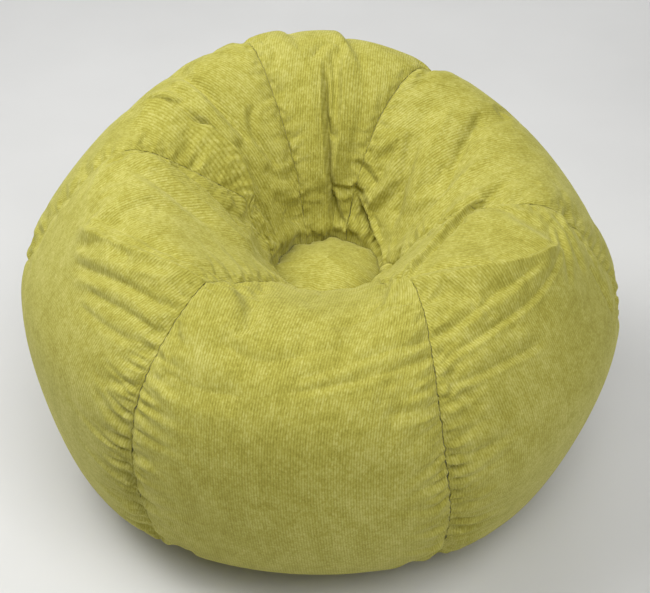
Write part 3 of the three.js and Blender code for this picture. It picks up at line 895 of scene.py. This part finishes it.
def build_cap():
    """The seat cap's upper points, and its places in the cloth as cut, whose wales run their own way."""
    columns, rows = 220, 72
    azimuth = np.arange(columns)[:, None] * 2 * np.pi / columns
    share = np.linspace(0.004, 1 - SEAM_GAP / CAP_RADIUS, rows)[None]
    points = face_points(azimuth, share - 1)
    x, y = points[..., 0] - SEAT_OFFSET, points[..., 1]
    chance = np.random.default_rng(11)
    edge = CAP_RADIUS * (1 - share) + 0 * azimuth
    height = soft_waves(chance, x, y, 5, 0.05, 0.11, 0.0012) + 0.009 * (1 - share**3)
    height += pucker_heights(azimuth * CAP_RADIUS + 0 * share, edge, chance, 0.017, 0.022, 0.0024, 0, low=0)
    height += -0.6 * CAP_GROOVE * np.exp(-edge / 0.003) - 0.4 * CAP_GROOVE * np.exp(-(edge / 0.012)**2)
    points[..., 2] += height
    points = points + np.exp(-(edge / 0.025)**2)[..., None] * cap_waver(azimuth + 0 * share)
    return points, np.stack([x * 0.26 + y * 0.966, x * 0.966 - y * 0.26], -1)


cap_points, cap_flat = build_cap()
cap = new_piece("seat_cap", disc_arrays(cap_points, CLOTH, cap_flat), "cover_seat_cap", CORDUROY)


EDGE_GAP, SLIT_GAP = 0.0010, 0.0052     # half the gap between a base's halves, and half its zip's slit


def build_base_half(side, radius, thickness, level, slit_half, wave, chance):
    """Half of a base, on this side (-1 or 1) of the zip along X, with waves of this height.

    Its straight edge steps back at the slit, which runs to slit_half on either side of the middle.
    """
    columns, rows = 180, 56
    angle = np.radians(np.linspace(-86.5, 86.5, columns))[:, None]
    share = np.linspace(0, 1, rows)[None]
    x = radius * np.sin(angle) + 0 * share
    step = smoothstep((slit_half + 0.001 - np.abs(x)) / 0.001)
    start = EDGE_GAP + (SLIT_GAP - EDGE_GAP) * step
    y = start + (radius * np.cos(angle) - start) * share
    edge = radius - np.hypot(x, y)
    clear = smoothstep((y - 0.03) / 0.05)       # 0 beside the zip
    height = wave * (0.5 + 0.5 * np.sin(x * 38 + 9 * y)) * clear
    height += wave * 0.9 * clear * (1 + np.sin(61 * x - 47 * y)) / 2
    around = np.arctan2(x, y) * radius
    rim = pucker_heights(around, np.maximum(edge, 0), chance, 0.022, 0.035, 0.0028, 0, low=1)
    height += np.abs(rim) * clear
    points = np.stack([x, side * y, level + height], -1)
    if side < 0:
        points = points[::-1]
    normals = np.zeros(points.shape)
    normals[..., 2] = -1
    return sheet_arrays(points, normals, thickness, points[..., :2])


for side, name in ((-1, "front"), (1, "rear")):
    chance = np.random.default_rng(20 + side)
    arrays = build_base_half(side, BASE_RADIUS - 0.0005, CLOTH, level=0.0003, slit_half=0.213, wave=0.0016,
                             chance=chance)
    piece = new_piece(f"base_{name}", arrays, f"cover_base_{name}", CORDUROY)

# ---- the liner and the beads
rise = ((coarse - smooth_face) * smooth_normals).sum(-1)
lowest = rise.copy()          # the deepest fold near each point, which the liner stays inside
for _ in range(3):
    lowest = np.minimum.reduce([lowest, np.roll(lowest, 1, 0), np.roll(lowest, -1, 0)])
    lowest[:, 1:] = np.minimum(lowest[:, 1:], lowest[:, :-1])
    lowest[:, :-1] = np.minimum(lowest[:, :-1], lowest[:, 1:])
room = np.maximum(-softened(lowest, 6), 0) + 0.003
around = np.arange(rise.shape[0])[:, None] / rise.shape[0] * 2 * np.pi
waves = sum(np.sin(a * around + b * place + c)
            for a, b, c in ((7, 9, 0), (13, -17, 2), (19, 23, 4), (31, 5, 1)))


def inner_surface(inset, wave):
    """The outer points of a layer this far inside the cover, with waves of this height."""
    depth = inset + room + wave * (waves - 4) / 8
    points = smooth_face - depth[..., None] * smooth_normals
    points[..., 2] = np.maximum(points[..., 2], inset)
    return points


liner_points = inner_surface(LINER_INSET, 0.004)
flat = np.stack([azimuth * 0.43, np.broadcast_to(place * GORE_LENGTH, azimuth.shape)], -1)
arrays = sheet_arrays(liner_points, grid_normals(liner_points, closed=True), LINER_CLOTH, flat, closed=True)
piece = new_piece("liner_side_cloth", arrays, "liner_side", LINER)

turn = np.arange(160)[:, None] * 2 * np.pi / 160
share = np.linspace(0.01, 1, 36)[None]
low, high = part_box("liner_top")
reach = share * (high.x - low.x) / 2
x, y = reach * np.sin(turn), -reach * np.cos(turn)
top = np.stack([x + SEAT_OFFSET, y, high.z - CAP_DOME * share**2 + soft_waves(
    np.random.default_rng(31), x, y, 6, 0.03, 0.08, 0.0008)], -1)
piece = new_piece("liner_top_cloth", disc_arrays(top, LINER_CLOTH, np.stack([x, y], -1)),
                  "liner_top", LINER)

low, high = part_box("liner_base_rear")
for side, name in ((-1, "front"), (1, "rear")):
    chance = np.random.default_rng(40 + side)
    arrays = build_base_half(side, high.x, LINER_CLOTH, level=low.z, slit_half=0.153, wave=0.0010,
                             chance=chance)
    piece = new_piece(f"liner_base_{name}_cloth", arrays, f"liner_base_{name}", LINER)


def build_fill():
    """The beads as one lumpy body, which fills the liner."""
    chance = np.random.default_rng(50)
    side_points = inner_surface(FILL_INSET, 0.003)
    lumps = sum(np.sin(a * around + b * place + c) for a, b, c in zip(
        chance.integers(20, 70, 8), chance.integers(20, 60, 8), chance.uniform(0, 6, 8)))
    side_points = side_points - (0.0012 + 0.0003 * lumps)[..., None] * smooth_normals
    columns = side_points.shape[0]
    rings = []                # under the seat cap, and over the base
    for places, lift in (((-1 + 1e-4, -0.8, -0.6, -0.4), -FILL_INSET),
                         ((1.35, 1.55, 1.75, 2 - 1e-4), FILL_INSET)):
        ring = face_points(azimuth[:, :1], np.array(places)[None] + 0 * azimuth[:, :1])
        rings.append(ring + (0, 0, lift))
    points = np.concatenate([rings[0], side_points, rings[1]], 1)
    index = np.arange(columns * points.shape[1]).reshape(columns, -1)
    faces = quads(index).tolist() + [index[:, 0].tolist(), index[::-1, -1].tolist()]
    return points.reshape(-1, 3), faces


fill = new_piece("beads", build_fill(), "bead_fill", bead_surface())

# ---- seams
for k in range(len(SEAMS)):
    points, normals = gores[k]
    line, up = points[0] - 0.0014 * normals[0], normals[0]
    inside = slice(2, -3)
    new_piece(f"seam_stitches_{k + 1}", stitches(line[inside], up[inside]),
              f"seam_thread_{k + 1}", SEWING_THREAD)

line = np.concatenate([cap_points[:, -1], cap_points[:2, -1]]) - (0, 0, 0.0012)
new_piece("cap_stitches", stitches(line, (0, 0, 1)), "cap_seam_thread", SEWING_THREAD)
turn = np.linspace(0, 2 * np.pi, 260)
line = np.stack([BASE_RADIUS * np.sin(turn), -BASE_RADIUS * np.cos(turn), 0 * turn + 0.0012], -1)
new_piece("base_stitches", stitches(line, (0, 0, -1)), "base_seam_thread", SEWING_THREAD)
for layer, material, slot in (("cover", SEWING_THREAD, "sewing_thread"),
                              ("liner", LINER_THREAD, "liner_thread")):
    for side in ("right", "left"):
        node = f"{layer}_zip_closing_thread_{side}"
        low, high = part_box(node)
        x = np.linspace(low.x, high.x, 30)
        line = np.stack([x, 0 * x, 0 * x + low.z], -1)
        new_piece(f"{layer}_closing_stitches_{side}", stitches(line, (0, 0, -1)), node, material)

# ---- zips
NYLON, METAL = nylon(), metal()
TAPES = {"cover": twill("cover_tape", (0.40, 0.38, 0.12), (0.22, 0.20, 0.05)),
         "liner": twill("liner_tape", (0.80, 0.79, 0.74), (0.55, 0.54, 0.49))}
COIL_PITCH = 0.0016
COIL_WIRE = 0.00030


def coil(node):
    """A nylon coil along X, which fills the box of a zip's chain."""
    low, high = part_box(node)
    turns = (high.x - low.x - 2 * COIL_WIRE) / COIL_PITCH
    angle = np.linspace(0, 2 * np.pi * turns, int(turns * 10))
    half_width, half_height = (high.y - low.y) / 2 - COIL_WIRE, (high.z - low.z) / 2 - COIL_WIRE
    points = np.stack([low.x + COIL_WIRE + COIL_PITCH * angle / (2 * np.pi),
                       (low.y + high.y) / 2 + half_width * np.cos(angle),
                       (low.z + high.z) / 2 + half_height * np.sin(angle)], -1)
    return tube_arrays(points, COIL_WIRE, 6, (1, 0, 0))


for layer in ("cover", "liner"):
    for side in ("front", "rear"):
        node = f"{layer}_zip_chain_{side}"
        new_piece(f"{layer}_zip_coil_{side}", coil(node), node, NYLON)
        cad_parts[f"{layer}_zip_tape_{side}"].data.materials[0] = TAPES[layer]
    for node in ("top_stop_front", "top_stop_rear", "bottom_stop", "slider"):
        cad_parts[f"{layer}_zip_{node}"].data.materials[0] = METAL

bpy.context.view_layer.update()
